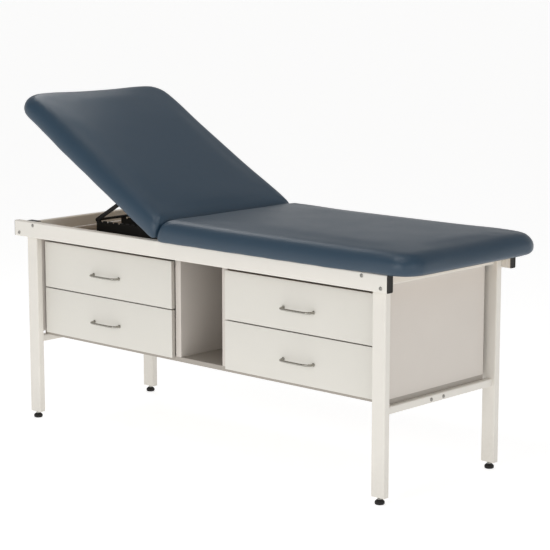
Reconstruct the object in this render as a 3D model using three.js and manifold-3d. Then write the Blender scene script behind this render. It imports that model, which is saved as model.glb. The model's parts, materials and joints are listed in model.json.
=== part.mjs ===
// Medical exam table: a welded and bolted steel frame, a laminate cabinet with four drawers and an open
// centre compartment, a fixed seat section, and a backrest that a ratchet prop holds at an angle.
// Millimetres. +X runs towards the foot end, -Y faces the drawers' side, +Z is up, and Z = 0 is the floor.

import * as THREE from 'three';
import { mergeVertices } from 'three/addons/utils/BufferGeometryUtils.js';
import Module from 'manifold-3d';

const wasm = await Module();
wasm.setup();

// ---------------------------------------------------------------- driving dimensions

// Frame
const frameLength = 1716; // side rails, end to end
const frameWidth = 644; // over the outer faces of the side rails
const railTop = 719; // height of the side rails' top faces
const railHeight = 55;
const railThickness = 27;
const tubeWall = 2;
const tubeCorner = 4; // outer corner radius of every tube
const legWidth = 52; // along X
const legDepth = 25; // along Y
const legInset = 29; // from a rail's end to the leg's outer face
const legPlateThickness = 3.4; // plate welded to the leg, screwed to the rail
const legPlateReach = 17; // how far that plate shows past the leg on each side
const legPlateRise = 4; // plate's lower edge above the side rail's underside
const legSoleThickness = 4;
const crossRailDepth = 25; // along X
const upperCrossHeight = 39;
const lowerCrossHeight = 25;
const lowerCrossTop = 302;
const plugFlange = 2.2; // thickness of a plug's visible face
const plugDepth = 14;

// Levelling feet
const footHeight = 23; // leg's underside above the floor
const padRadius = 15.5;
const padHeight = 15;
const stemRadius = 4;
const stemEngagement = 30; // stem inside the leg, with the foot screwed right in
const padBevel = 2;
const stemNut = 1.2; // height of the nut on top of the pad

// Cabinet
const cabinetEndOverhang = 21; // how far the cabinet passes the legs' inner faces, along X
const cabinetSetback = 25; // from the legs' inner faces to the cabinet, along Y
const panelThickness = 16;
const partitionThickness = 25;
const backThickness = 12;
const endPanelTopGap = 1.2; // under the upper cross rail
const compartmentWidth = 194;

// Drawers
const frontThickness = 16;
const frontReveal = 3.5; // gap between an upper and a lower drawer front
const frontTopGap = 20; // under the side rail
const frontBottomLap = 3.5; // the fronts start this far below the cabinet floor's top face
const frontEndGap = 5; // beside a leg
const frontPartitionLap = 2.5; // how far a front passes the partition's far face
const boxHeight = 130;
const boxWall = 11;
const boxFloor = 5;
const boxRise = 10; // from a front's lower edge to its box
const boxBackGap = 24; // behind the closed box
const runnerSpace = 13; // each side of a box
const runnerThickness = 9;
const runnerHeight = 22;
const runnerLip = 1.6;
const slideStripThickness = 2.6; // moving member, fixed to the box

// Pulls
const pullCentres = 128;
const pullWire = 4.2; // radius
const pullProjection = 27;
const pullDrop = 9; // below the middle of its drawer front
const pullBend = 12; // size of the bends between the bow and its posts

// Upholstery
const seatFootOverhang = 98; // past the side rails' ends
const seatSideOverhang = 16; // past the side rails' outer faces
const cushionHeight = 68;
const boardThickness = 12;
const boardMargin = 24; // from the cushion's edge to the board's
const boardStart = 6; // from the cushion's hinge end to the board's
const boardSquareCorner = 2; // plan radius of a board's corners at the hinge
const cushionCorner = 95; // plan radius at the outer corners
const cushionHingeCorner = 14; // plan radius at the hinge end
const backrestLength = 816; // from the hinge axis to the head edge
const hingeFromCentre = 127; // hinge axis towards the head from the frame's middle
const hingeDrop = 8; // hinge axis below the rails' top faces
const seatBevel = 15; // degrees, seat's end at the hinge
const backBevel = 45; // degrees, backrest's end at the hinge
const seatEndGap = 5; // hinge axis to the seat's end
const backEndGap = 12; // hinge axis to the backrest's end
const restAngle = 30; // degrees, backrest above the horizontal

// Hinge and prop
const hingeRailGap = 25; // from each end of the hinge to the side rail's inner face
const leafWidth = 40;
const leafThickness = 2;
const leafSetback = 1.5; // from a knuckle's side to its leaf's strip
const knuckleWeb = 8.8; // from the hinge axis to the end of a knuckle's web
const barrelRadius = 5.5;
const pinRadius = 2.5;
const knuckles = 7;
const knuckleGap = 0.6;
const propLength = 325; // pivot to foot axle, and hinge axis to pivot
const propHalfSpread = 80; // prop bars from the centre plane
const barHalfWidth = 7;
const barThickness = 6;
const axleRadius = 5;
const rackHalfSpread = 60;
const rackThickness = 3;
const rackFlange = 18;
const rackNotches = 9;
const rackNotchRadius = 6;
const rackHeadClearance = 25; // rack past the foot axle with the backrest at its rest angle
const rackHingeClearance = 292.5; // rack's near end from the hinge axis
const rackAxleClearance = 0.6; // under the foot axle
const bracketPlate = 2.5;
const bracketFlange = 16; // plate outside each ear
const bracketBarGap = 2; // plate clear of the prop bars' round ends
const bracketLength = 44;
const earThickness = 4;
const earHalfWidth = 10;
const earClearance = 0.9; // beside a prop bar
const pivotEndReach = 2; // axle past an ear
const footEndReach = 1; // axle past a prop bar

// Fits
const fitGap = 0.3; // between pieces that touch
const plugClearance = 0.4; // plug in its tube
const boreClearance = 0.35; // shaft in its hole
const cutterMargin = 10; // how far a cutter passes the face it goes through

// ---------------------------------------------------------------- derived places

const halfLength = frameLength / 2;
const halfWidth = frameWidth / 2;
const hingeHalfLength = halfWidth - railThickness - hingeRailGap;
const railBottom = railTop - railHeight;
const railInner = halfWidth - railThickness;
const legOuterY = railInner - fitGap - legPlateThickness;
const legInnerY = legOuterY - legDepth;
const legOuterX = halfLength - legInset;
const legInnerX = legOuterX - legWidth;
const legMiddleX = (legOuterX + legInnerX) / 2;
const legMiddleY = (legOuterY + legInnerY) / 2;
const legTop = railTop - plugFlange - 1; // its plug stays under the rails' top faces

const cabinetEnd = legInnerX + cabinetEndOverhang;
const cabinetFront = legInnerY - cabinetSetback;
const floorBottom = lowerCrossTop + fitGap;
const floorTop = floorBottom + panelThickness;
const roofTop = railBottom;
const roofBottom = roofTop - panelThickness;
const wallBottom = floorTop + fitGap;
const wallTop = roofBottom - fitGap;
const wallHeight = wallTop - wallBottom;
const endPanelTop = legTop - upperCrossHeight - endPanelTopGap;
const endPanelFront = legInnerY - fitGap; // the end panels are fixed to the front legs
const endInner = cabinetEnd - panelThickness;
const compartmentSide = compartmentWidth / 2;
const partitionFar = compartmentSide + partitionThickness;
const backInner = cabinetFront - backThickness;

const frontInner = cabinetFront + 2 * fitGap;
const frontOuter = frontInner + frontThickness;
const frontOuterX = legInnerX - frontEndGap;
const frontInnerX = partitionFar + frontPartitionLap;
const frontWidth = frontOuterX - frontInnerX;
const frontMiddleX = (frontOuterX + frontInnerX) / 2;
const frontsBottom = floorTop - frontBottomLap;
const frontsTop = railBottom - frontTopGap;
const frontHeight = (frontsTop - frontsBottom - frontReveal) / 2;
const bayMiddleX = (endInner + partitionFar) / 2;
const boxWidth = endInner - partitionFar - 2 * runnerSpace;
const boxDepth = cabinetFront + backInner - boxBackGap;

const cushionHalfWidth = halfWidth + seatSideOverhang;
const footEnd = halfLength + seatFootOverhang;
const headEnd = halfLength + plugFlange; // rail plugs reach furthest towards the head
const hingeX = -hingeFromCentre;
const hingeZ = railTop - hingeDrop;
const underside = hingeDrop + fitGap; // cushions' undersides above the hinge axis
const seatLength = footEnd - hingeX; // from the hinge axis to the foot edge
const boardHalfWidth = cushionHalfWidth - boardMargin;

// ---------------------------------------------------------------- finishes

const paint = (hex, roughness, metalness = 0) => new THREE.MeshStandardMaterial({
  color: hex, roughness, metalness,
});
const finish = {
  frame: paint(0xe4e0d9, 0.45),
  plug: paint(0x25221e, 0.5),
  pad: paint(0x1f1d1c, 0.6),
  laminate: paint(0xdbd7d0, 0.5),
  panel: paint(0xc4bbb2, 0.55),
  drawerBox: paint(0xd9d2c6, 0.6),
  runner: paint(0xb9bbbd, 0.35, 1),
  pull: paint(0xc9c7c1, 0.25, 1),
  board: paint(0x9a7a55, 0.8),
  vinyl: paint(0x485865, 0.45),
  mechanism: paint(0x0f0f0f, 0.45),
};

// ---------------------------------------------------------------- shape helpers

// A closed solid for joining and cutting, from any closed geometry.
function solid(geometry) {
  const bare = geometry.clone();
  bare.deleteAttribute('normal');
  bare.deleteAttribute('uv');
  const merged = mergeVertices(bare, 1e-4);
  return new wasm.Manifold(new wasm.Mesh({
    numProp: 3,
    vertProperties: new Float32Array(merged.attributes.position.array),
    triVerts: new Uint32Array(merged.index.array),
  }));
}

function geometryOf(body) {
  const mesh = body.getMesh();
  const geometry = new THREE.BufferGeometry();
  geometry.setAttribute('position', new THREE.BufferAttribute(new Float32Array(mesh.vertProperties), 3));
  geometry.setIndex(new THREE.BufferAttribute(new Uint32Array(mesh.triVerts), 1));
  geometry.computeVertexNormals();
  return geometry;
}

const joined = (...geometries) => geometryOf(geometries.map(solid).reduce((a, b) => a.add(b)));
const cut = (geometry, ...cutters) => geometryOf(
  cutters.map(solid).reduce((a, b) => a.subtract(b), solid(geometry)),
);

// A box between two corners.
function block(x0, x1, y0, y1, z0, z1) {
  const geometry = new THREE.BoxGeometry(x1 - x0, y1 - y0, z1 - z0);
  return geometry.translate((x0 + x1) / 2, (y0 + y1) / 2, (z0 + z1) / 2);
}

// A rectangle with round corners, centred, as an outline or as a hole.
function roundRectangle(width, height, radius, Kind = THREE.Shape) {
  const x = width / 2;
  const y = height / 2;
  const outline = new Kind();
  outline.moveTo(-x + radius, -y);
  outline.lineTo(x - radius, -y);
  outline.absarc(x - radius, -y + radius, radius, -Math.PI / 2, 0);
  outline.lineTo(x, y - radius);
  outline.absarc(x - radius, y - radius, radius, 0, Math.PI / 2);
  outline.lineTo(-x + radius, y);
  outline.absarc(-x + radius, y - radius, radius, Math.PI / 2, Math.PI);
  outline.lineTo(-x, -y + radius);
  outline.absarc(-x + radius, -y + radius, radius, Math.PI, 1.5 * Math.PI);
  return outline;
}

function prism(outline, length, curveSegments = 2) {
  return new THREE.ExtrudeGeometry(outline, { depth: length, bevelEnabled: false, curveSegments });
}

// Rectangular tube along +Z, open at both ends, centred in its section.
function tube(width, height, length) {
  const outline = roundRectangle(width, height, tubeCorner);
  const bore = roundRectangle(
    width - 2 * tubeWall, height - 2 * tubeWall, tubeCorner - tubeWall, THREE.Path,
  );
  outline.holes.push(bore);
  return prism(outline, length);
}

// Black end plug along +Z: a flange on the tube's end face at Z = 0 and a stub going down into the bore.
function tubePlug(width, height) {
  const stubWidth = width - 2 * tubeWall - 2 * plugClearance;
  const stubHeight = height - 2 * tubeWall - 2 * plugClearance;
  const stub = prism(roundRectangle(stubWidth, stubHeight, tubeCorner - tubeWall), plugDepth + fitGap);
  stub.translate(0, 0, -plugDepth);
  const flange = prism(roundRectangle(width, height, tubeCorner), plugFlange - fitGap);
  flange.translate(0, 0, fitGap);
  return joined(stub, flange);
}

function cylinder(radius, length, segments = 14) {
  return new THREE.CylinderGeometry(radius, radius, length, segments); // along Y
}

const root = new THREE.Group();

function place(parent, name, geometry, material, position = [0, 0, 0], rotation = [0, 0, 0]) {
  const mesh = new THREE.Mesh(geometry, material);
  mesh.name = name;
  mesh.position.set(...position);
  mesh.rotation.set(...rotation);
  parent.add(mesh);
  return mesh;
}

const ends = [['head', -1], ['foot', 1]];
const sides = [['front', -1], ['rear', 1]];

// ---------------------------------------------------------------- frame

function addSideRails(parent) {
  for (const [side, y] of sides) {
    const rail = tube(railHeight, railThickness, frameLength);
    rail.rotateY(Math.PI / 2).translate(-halfLength, 0, 0);
    const middleY = y * (halfWidth - railThickness / 2);
    const middleZ = railTop - railHeight / 2;
    place(parent, `${side}_side_rail`, rail, finish.frame, [0, middleY, middleZ]);
    for (const [end, x] of ends) {
      const plug = tubePlug(railHeight, railThickness).rotateY(x * Math.PI / 2);
      place(parent, `${side}_${end}_rail_plug`, plug, finish.plug, [x * halfLength, middleY, middleZ]);
    }
  }
}

// A leg tube with its plate to the side rail and a closed foot with a hole for the levelling stem.
function legGeometry(ySign) {
  const length = legTop - footHeight;
  const body = tube(legWidth, legDepth, length);
  const sole = prism(
    roundRectangle(legWidth - tubeWall, legDepth - tubeWall, tubeCorner - tubeWall / 2), legSoleThickness,
  );
  const plateHeight = legTop - railBottom - legPlateRise;
  const plateHalf = legWidth / 2 + legPlateReach;
  const plate = block(
    -plateHalf, plateHalf, legDepth / 2 - tubeWall / 2, legDepth / 2 + legPlateThickness,
    length - plateHeight, length,
  );
  if (ySign < 0) plate.rotateZ(Math.PI);
  const hole = cylinder(stemRadius + boreClearance, 2 * legSoleThickness + cutterMargin).rotateX(Math.PI / 2);
  return cut(joined(body, sole, plate), hole);
}

// A threaded stem on a round rubber pad, as one turned piece.
function footGeometry() {
  const profile = [
    [0, 0], [padRadius - padBevel, 0], [padRadius, padBevel], [padRadius, padHeight - 2 * padBevel],
    [padRadius - 1.5 * padBevel, padHeight], [2 * stemRadius, padHeight],
    [2 * stemRadius, padHeight + stemNut], [stemRadius, padHeight + stemNut],
    [stemRadius, footHeight + stemEngagement], [0, footHeight + stemEngagement],
  ].map(([r, z]) => new THREE.Vector2(r, z));
  return new THREE.LatheGeometry(profile, 20).rotateX(Math.PI / 2);
}

function addLegs(parent) {
  for (const [end, x] of ends) {
    for (const [side, y] of sides) {
      const at = [x * legMiddleX, y * legMiddleY];
      place(parent, `${end}_${side}_leg`, legGeometry(y), finish.frame, [...at, footHeight]);
      place(parent, `${end}_${side}_leg_plug`, tubePlug(legWidth, legDepth), finish.plug, [...at, legTop]);
      place(parent, `${end}_${side}_levelling_foot`, footGeometry(), finish.pad, [...at, 0]);
    }
  }
}

function addCrossRails(parent) {
  const length = 2 * (legInnerY - fitGap);
  for (const [end, x] of ends) {
    for (const [level, height, top] of [
      ['upper', upperCrossHeight, legTop], ['lower', lowerCrossHeight, lowerCrossTop],
    ]) {
      const rail = tube(crossRailDepth, height, length).rotateX(Math.PI / 2);
      rail.translate(0, length / 2, 0);
      place(parent, `${end}_${level}_cross_rail`, rail, finish.frame, [x * legMiddleX, 0, top - height / 2]);
    }
  }
}

// ---------------------------------------------------------------- cabinet

function addCabinet(parent) {
  const depth = cabinetFront;
  place(parent, 'cabinet_floor',
    block(-cabinetEnd, cabinetEnd, -depth, depth, floorBottom, floorTop), finish.laminate);
  // Between the end panels, and back to the rear side rail where it passes between the legs.
  const top = block(-endInner + fitGap, endInner - fitGap, -depth, depth, roofBottom, roofTop);
  const rear = block(
    -legInnerX + fitGap, legInnerX - fitGap, depth - panelThickness, railInner - fitGap, roofBottom, roofTop,
  );
  place(parent, 'cabinet_top', joined(top, rear), finish.panel);
  place(parent, 'cabinet_back',
    block(-endInner + fitGap, endInner - fitGap, backInner, depth, wallBottom, wallTop), finish.panel);
  for (const [end, x] of ends) {
    const wall = block(
      -panelThickness / 2, panelThickness / 2, -endPanelFront, depth, 0, endPanelTop - wallBottom,
    );
    const wallX = x * (cabinetEnd - panelThickness / 2);
    place(parent, `${end}_end_panel`, wall, finish.panel, [wallX, 0, wallBottom]);
    const partition = block(
      -partitionThickness / 2, partitionThickness / 2, -depth, backInner - fitGap, 0, wallHeight,
    );
    const partitionX = x * (compartmentSide + partitionThickness / 2);
    place(parent, `${end}_partition`, partition, finish.laminate, [partitionX, 0, wallBottom]);
  }
}

// ---------------------------------------------------------------- drawers

// A U-section channel, open towards the drawer on +X, in the frame of its bay's left wall.
function runnerGeometry() {
  const outer = block(0, runnerThickness, 0, boxDepth, -runnerHeight / 2, runnerHeight / 2);
  const groove = block(
    runnerLip, runnerThickness + cutterMargin, -cutterMargin, boxDepth + cutterMargin,
    -runnerHeight / 2 + runnerLip, runnerHeight / 2 - runnerLip,
  );
  return cut(outer, groove);
}

// An open-topped box with the moving members of its two runners on its sides.
function boxGeometry() {
  const half = boxWidth / 2;
  const outer = block(-half, half, 0, boxDepth, 0, boxHeight);
  const inside = block(
    -half + boxWall, half - boxWall, boxWall, boxDepth - boxWall, boxFloor, boxHeight + cutterMargin,
  );
  const stripHalf = runnerHeight / 2 - 2 * runnerLip;
  const strips = [-1, 1].map((x) => {
    const strip = block(
      half - boxWall / 2, half + slideStripThickness, 0, boxDepth,
      boxHeight / 2 - stripHalf, boxHeight / 2 + stripHalf,
    );
    if (x < 0) strip.rotateZ(Math.PI).translate(0, boxDepth, 0);
    return strip;
  });
  return joined(cut(outer, inside), ...strips);
}

// A bowed wire with straight posts into the drawer front, in a level plane; Y = 0 is the front's face.
function pullGeometry() {
  const half = pullCentres / 2;
  const bend = pullBend;
  const path = new THREE.CurvePath();
  const points = [
    new THREE.Vector3(-half, -fitGap, 0),
    new THREE.Vector3(-half, -(pullProjection - 2 * bend), 0),
    new THREE.Vector3(-half + bend, -(pullProjection - 0.5 * bend), 0),
    new THREE.Vector3(half - bend, -(pullProjection - 0.5 * bend), 0),
    new THREE.Vector3(half, -(pullProjection - 2 * bend), 0),
    new THREE.Vector3(half, -fitGap, 0),
  ];
  const left = new THREE.Vector3(-half, -(pullProjection - bend), 0);
  const right = new THREE.Vector3(half, -(pullProjection - bend), 0);
  const crown = new THREE.Vector3(0, -(pullProjection + 0.5 * bend), 0);
  path.add(new THREE.LineCurve3(points[0], points[1]));
  path.add(new THREE.QuadraticBezierCurve3(points[1], left, points[2]));
  path.add(new THREE.QuadraticBezierCurve3(points[2], crown, points[3]));
  path.add(new THREE.QuadraticBezierCurve3(points[3], right, points[4]));
  path.add(new THREE.LineCurve3(points[4], points[5]));
  const section = new THREE.Shape();
  section.absarc(0, 0, pullWire, 0, 2 * Math.PI);
  return new THREE.ExtrudeGeometry(section, { steps: 26, extrudePath: path, curveSegments: 4 });
}

function addDrawers(parent) {
  for (const [end, x] of ends) {
    for (const [level, row] of [['lower', 0], ['upper', 1]]) {
      const bottom = frontsBottom + row * (frontHeight + frontReveal);
      const name = `${end}_${level}_drawer`;
      const front = block(-frontWidth / 2, frontWidth / 2, -frontOuter, -frontInner, 0, frontHeight);
      place(parent, `${name}_front`, front, finish.laminate, [x * frontMiddleX, 0, bottom]);
      const pullZ = bottom + frontHeight / 2 - pullDrop;
      place(parent, `${name}_pull`, pullGeometry(), finish.pull, [x * frontMiddleX, -frontOuter, pullZ]);
      const boxBottom = bottom + boxRise;
      const boxFrontY = -frontInner + fitGap;
      place(parent, `${name}_box`, boxGeometry(), finish.drawerBox, [x * bayMiddleX, boxFrontY, boxBottom]);
      const runnerZ = boxBottom + boxHeight / 2;
      for (const [wall, w] of [['left', -1], ['right', 1]]) {
        const runner = runnerGeometry();
        if (w > 0) runner.rotateZ(Math.PI).translate(0, boxDepth, 0);
        const wallX = x * bayMiddleX + w * ((endInner - partitionFar) / 2 - fitGap);
        place(parent, `${name}_${wall}_runner`, runner, finish.runner, [wallX, boxFrontY + fitGap, runnerZ]);
      }
    }
  }
}

// ---------------------------------------------------------------- upholstery

// Plan outline of a cushion from x = 0 at the hinge end to x = length, with its large corners at the far end.
function cushionOutline(length, halfBreadth, nearRadius, farRadius) {
  const outline = new THREE.Shape();
  outline.moveTo(nearRadius, -halfBreadth);
  outline.lineTo(length - farRadius, -halfBreadth);
  outline.absarc(length - farRadius, -halfBreadth + farRadius, farRadius, -Math.PI / 2, 0);
  outline.lineTo(length, halfBreadth - farRadius);
  outline.absarc(length - farRadius, halfBreadth - farRadius, farRadius, 0, Math.PI / 2);
  outline.lineTo(nearRadius, halfBreadth);
  outline.absarc(nearRadius, halfBreadth - nearRadius, nearRadius, Math.PI / 2, Math.PI);
  outline.lineTo(0, -halfBreadth + nearRadius);
  outline.absarc(nearRadius, -halfBreadth + nearRadius, nearRadius, Math.PI, 1.5 * Math.PI);
  return outline;
}

// A wedge that takes the cushion's hinge end back by an angle, from the underside up.
function bevelCutter(degrees) {
  const rise = cushionHeight + cutterMargin;
  const run = rise * Math.tan(THREE.MathUtils.degToRad(degrees));
  const outline = new THREE.Shape();
  outline.moveTo(0, 0);
  outline.lineTo(run, rise);
  outline.lineTo(-cutterMargin, rise);
  outline.lineTo(-cutterMargin, 0);
  const width = 2 * (cushionHalfWidth + cutterMargin);
  return prism(outline, width).rotateX(Math.PI / 2).translate(0, width / 2, 0);
}

// Board and foam cover of one section, lying flat; x = 0 is the hinge end and z = 0 the underside.
function addCushion(parent, name, length, bevel, towards) {
  const section = new THREE.Group();
  section.rotation.z = towards < 0 ? Math.PI : 0;
  parent.add(section);
  const boardLength = length - boardStart - boardMargin;
  const boardCorner = Math.max(cushionCorner - boardMargin, boardSquareCorner);
  const boardOutline = (grown) => cushionOutline(
    boardLength + 2 * grown, boardHalfWidth + grown, boardSquareCorner, boardCorner + grown,
  );
  const board = prism(boardOutline(0), boardThickness, 5);
  place(section, `${name}_board`, board, finish.board, [boardStart, 0, 0]);
  const pocket = prism(boardOutline(fitGap), boardThickness + fitGap + cutterMargin, 5);
  pocket.translate(boardStart - fitGap, 0, -cutterMargin);
  const foam = prism(
    cushionOutline(length, cushionHalfWidth, cushionHingeCorner, cushionCorner), cushionHeight, 6,
  );
  place(section, `${name}_cushion`, cut(foam, pocket, bevelCutter(bevel)), finish.vinyl);
}

// ---------------------------------------------------------------- hinge

// One leaf of the piano hinge: a strip under a board with every second knuckle. Origin on the hinge axis.
function leafGeometry(towards, firstKnuckle) {
  const pitch = (2 * hingeHalfLength) / knuckles;
  const top = underside - fitGap;
  const reach = (from, to) => [towards * from, towards * to].sort((a, b) => a - b);
  const strip = block(
    ...reach(barrelRadius + leafSetback, leafWidth), -hingeHalfLength, hingeHalfLength,
    top - leafThickness, top,
  );
  const pieces = [strip];
  for (let k = firstKnuckle; k < knuckles; k += 2) {
    const middle = -hingeHalfLength + (k + 0.5) * pitch;
    const length = pitch - knuckleGap;
    pieces.push(cylinder(barrelRadius, length).translate(0, middle, 0));
    pieces.push(block(
      ...reach(0, knuckleWeb), middle - length / 2, middle + length / 2,
      barrelRadius - leafThickness, top,
    ));
  }
  const bore = cylinder(pinRadius + boreClearance, 2 * hingeHalfLength + cutterMargin);
  return cut(joined(...pieces), bore);
}

// ---------------------------------------------------------------- prop

// Two flat bars between a pivot axle at the origin and a foot axle at x = propLength.
function propGeometry() {
  const pieces = sides.map(([, y]) => {
    const outline = new THREE.Shape();
    outline.absarc(propLength, 0, barHalfWidth, -Math.PI / 2, Math.PI / 2);
    outline.absarc(0, 0, barHalfWidth, Math.PI / 2, 1.5 * Math.PI);
    const bar = prism(outline, barThickness, 5).rotateX(Math.PI / 2);
    return bar.translate(0, y * propHalfSpread + barThickness / 2, 0);
  });
  const pivotHalf = propHalfSpread + barThickness / 2 + earClearance + earThickness + pivotEndReach;
  const footHalf = propHalfSpread + barThickness / 2 + footEndReach;
  pieces.push(cylinder(axleRadius, 2 * pivotHalf));
  pieces.push(cylinder(axleRadius, 2 * footHalf).translate(propLength, 0, 0));
  return joined(...pieces);
}

// Plate under the backrest board, on the hinge's side of the pivot, with two bored ears that reach out beside
// the prop bars. Origin on the pivot axle, +X towards the hinge.
function bracketGeometry() {
  const top = underside - fitGap;
  const earInner = propHalfSpread + barThickness / 2 + earClearance;
  const earOuter = earInner + earThickness;
  const plateStart = barHalfWidth + bracketBarGap;
  const plateEnd = plateStart + bracketLength;
  const plateHalf = earOuter + bracketFlange;
  const plate = block(plateStart, plateEnd, -plateHalf, plateHalf, top - bracketPlate, top);
  const ears = sides.map(([, y]) => block(
    -earHalfWidth, plateEnd, Math.min(y * earInner, y * earOuter), Math.max(y * earInner, y * earOuter),
    -earHalfWidth, top,
  ));
  const bore = cylinder(axleRadius + boreClearance, 2 * earOuter + cutterMargin);
  return cut(joined(plate, ...ears), bore);
}

// A notched upright strip on the cabinet's top, bent over at its foot. Origin at the foot-end lower corner.
function rackGeometry(ySign, length, height) {
  const outline = new THREE.Shape();
  const pitch = length / (rackNotches + 1);
  outline.moveTo(0, 0);
  outline.lineTo(0, height);
  for (let k = 1; k <= rackNotches; k += 1) {
    const x = k * pitch;
    outline.lineTo(x - rackNotchRadius, height);
    outline.absarc(x, height, rackNotchRadius, Math.PI, 2 * Math.PI);
  }
  outline.lineTo(length, height);
  outline.lineTo(length, 0);
  const strip = prism(outline, rackThickness, 3).rotateX(Math.PI / 2).translate(0, rackThickness / 2, 0);
  const flange = block(0, length, -rackThickness / 2, rackFlange, 0, rackThickness);
  if (ySign > 0) flange.rotateX(Math.PI).translate(0, 0, rackThickness);
  return joined(strip, flange);
}

function addRacks(parent) {
  const axleX = hingeX - 2 * propLength * Math.cos(THREE.MathUtils.degToRad(restAngle));
  const reach = axleX - rackHeadClearance;
  const start = Math.max(reach, -(legMiddleX - crossRailDepth / 2 - fitGap));
  const length = hingeX - rackHingeClearance - start;
  const height = hingeZ - axleRadius - rackAxleClearance - (roofTop + fitGap);
  for (const [side, y] of sides) {
    place(parent, `${side}_ratchet_rack`, rackGeometry(y, length, height), finish.mechanism,
      [start, y * rackHalfSpread, roofTop + fitGap]);
  }
}

// ---------------------------------------------------------------- assembly

const table = new THREE.Group();
table.position.x = -(footEnd - headEnd) / 2; // origin under the middle of the table's overall length
root.add(table);

addSideRails(table);
addLegs(table);
addCrossRails(table);
addCabinet(table);
addDrawers(table);
addRacks(table);

const hinge = new THREE.Group();
hinge.position.set(hingeX, 0, hingeZ);
table.add(hinge);
place(hinge, 'hinge_pin', cylinder(pinRadius, 2 * (hingeHalfLength - fitGap)), finish.mechanism);
place(hinge, 'seat_hinge_leaf', leafGeometry(1, 0), finish.mechanism);

const seat = new THREE.Group();
seat.position.set(seatEndGap, 0, underside);
hinge.add(seat);
addCushion(seat, 'seat', seatLength - seatEndGap, seatBevel, 1);

const backrest = new THREE.Group(); // turns about the hinge axis
backrest.rotation.y = THREE.MathUtils.degToRad(restAngle);
hinge.add(backrest);
place(backrest, 'backrest_hinge_leaf', leafGeometry(-1, 1), finish.mechanism);
const backSection = new THREE.Group();
backSection.position.set(-backEndGap, 0, underside);
backrest.add(backSection);
addCushion(backSection, 'backrest', backrestLength - backEndGap, backBevel, -1);

const pivot = new THREE.Group();
pivot.position.set(-propLength, 0, 0);
backrest.add(pivot);
place(pivot, 'prop_bracket', bracketGeometry(), finish.mechanism);
// Bars as long as the pivot's distance from the hinge keep the foot axle level with the hinge axis.
place(pivot, 'backrest_prop', propGeometry(), finish.mechanism, [0, 0, 0],
  [0, Math.PI - 2 * THREE.MathUtils.degToRad(restAngle), 0]);

export default root;
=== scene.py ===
"""Looks of a medical exam table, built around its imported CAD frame.

Run as a script, it makes the upholstery, fronts, pulls, plugs, feet, fasteners and welds, gives every
carried-over part its finish, and sets the studio. Lengths inside the shape functions are millimetres
until a piece is put in its place, in metres, in the frame's own axes.
"""

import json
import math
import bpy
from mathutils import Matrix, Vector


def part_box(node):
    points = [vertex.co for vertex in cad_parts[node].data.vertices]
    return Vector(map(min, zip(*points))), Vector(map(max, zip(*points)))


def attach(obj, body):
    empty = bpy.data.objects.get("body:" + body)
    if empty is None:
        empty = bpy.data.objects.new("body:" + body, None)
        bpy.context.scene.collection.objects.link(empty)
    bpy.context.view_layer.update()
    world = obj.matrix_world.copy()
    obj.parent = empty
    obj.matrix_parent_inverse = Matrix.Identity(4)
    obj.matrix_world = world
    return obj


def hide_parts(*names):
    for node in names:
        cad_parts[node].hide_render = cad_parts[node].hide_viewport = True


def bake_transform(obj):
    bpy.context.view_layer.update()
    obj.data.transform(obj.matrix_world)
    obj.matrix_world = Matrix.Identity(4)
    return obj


bl_info = {
    "name": "Exam Table Looks",
    "version": (1, 0, 0),
    "blender": (4, 5, 0),
    "location": "View3D > Sidebar > Exam Table",
    "description": "Builds the visible shapes and finishes of a padded exam table around its CAD frame",
    "category": "Object",
}

import bmesh
import bpy
import numpy as np
from bpy.props import FloatProperty, FloatVectorProperty, PointerProperty
from mathutils import Vector

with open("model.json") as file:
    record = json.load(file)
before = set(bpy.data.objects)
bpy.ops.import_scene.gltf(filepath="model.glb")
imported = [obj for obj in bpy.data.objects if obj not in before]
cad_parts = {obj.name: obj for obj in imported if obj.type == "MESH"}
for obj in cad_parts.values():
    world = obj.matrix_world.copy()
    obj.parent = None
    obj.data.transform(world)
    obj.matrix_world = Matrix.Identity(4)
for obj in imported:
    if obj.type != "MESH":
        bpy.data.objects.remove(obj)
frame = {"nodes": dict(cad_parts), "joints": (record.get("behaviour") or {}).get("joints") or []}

MM = 0.001
ENDS = (("head", -1), ("foot", 1))
SIDES = (("front", -1), ("rear", 1))
LEVELS = ("lower", "upper")
DRAWERS = [f"{end}_{level}_drawer" for end, _ in ENDS for level in LEVELS]
AXES = ([1, 0, 0], [0, 1, 0], [0, 0, 1])
OUTWARDS = ([1, 0, 0], [0, 0, 1], [0, -1, 0])  # axes of what stands out of the cabinet's front
TILT = next(j for j in frame["joints"] if j["name"] == "backrest_tilt")
HINGE = np.array(TILT["pos_m"])
REST_ANGLE = math.radians(30)
UNDERSIDE = 8.3  # cushions' undersides above the hinge axis, along their own normals
TUBE_CORNER = 4.0  # outer radius of a square tube's corners
PLUG_RISE = 2.2  # how far an end plug's cap stands out of its tube
THREAD_PITCH = 1.25


# ------------ sizes and colours


def linear(code):
    """Linear RGBA of an sRGB hex colour: each channel c is c/12.92 up to 0.04045, else
    ((c+0.055)/1.055)^2.4."""
    c = np.array([int(code[i : i + 2], 16) for i in (1, 3, 5)]) / 255
    c = np.where(c <= 0.04045, c / 12.92, ((c + 0.055) / 1.055) ** 2.4)
    return (*c.tolist(), 1.0)


def colour_property(name, description, code):
    """A colour setting whose default is an sRGB hex colour."""
    return FloatVectorProperty(
        name=name, description=description, subtype="COLOR", size=4, min=0, max=1, default=linear(code)
    )


def length_property(name, description, millimetres, low=0.0, high=500.0):
    """A length setting in metres, from a default in millimetres."""
    return FloatProperty(
        name=name, description=description, unit="LENGTH", subtype="DISTANCE",
        default=millimetres * MM, min=low * MM, max=high * MM,
    )


def power_property(name, description, watts):
    """The power setting of a light."""
    return FloatProperty(name=name, description=description, unit="POWER", default=watts, min=0)


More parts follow.
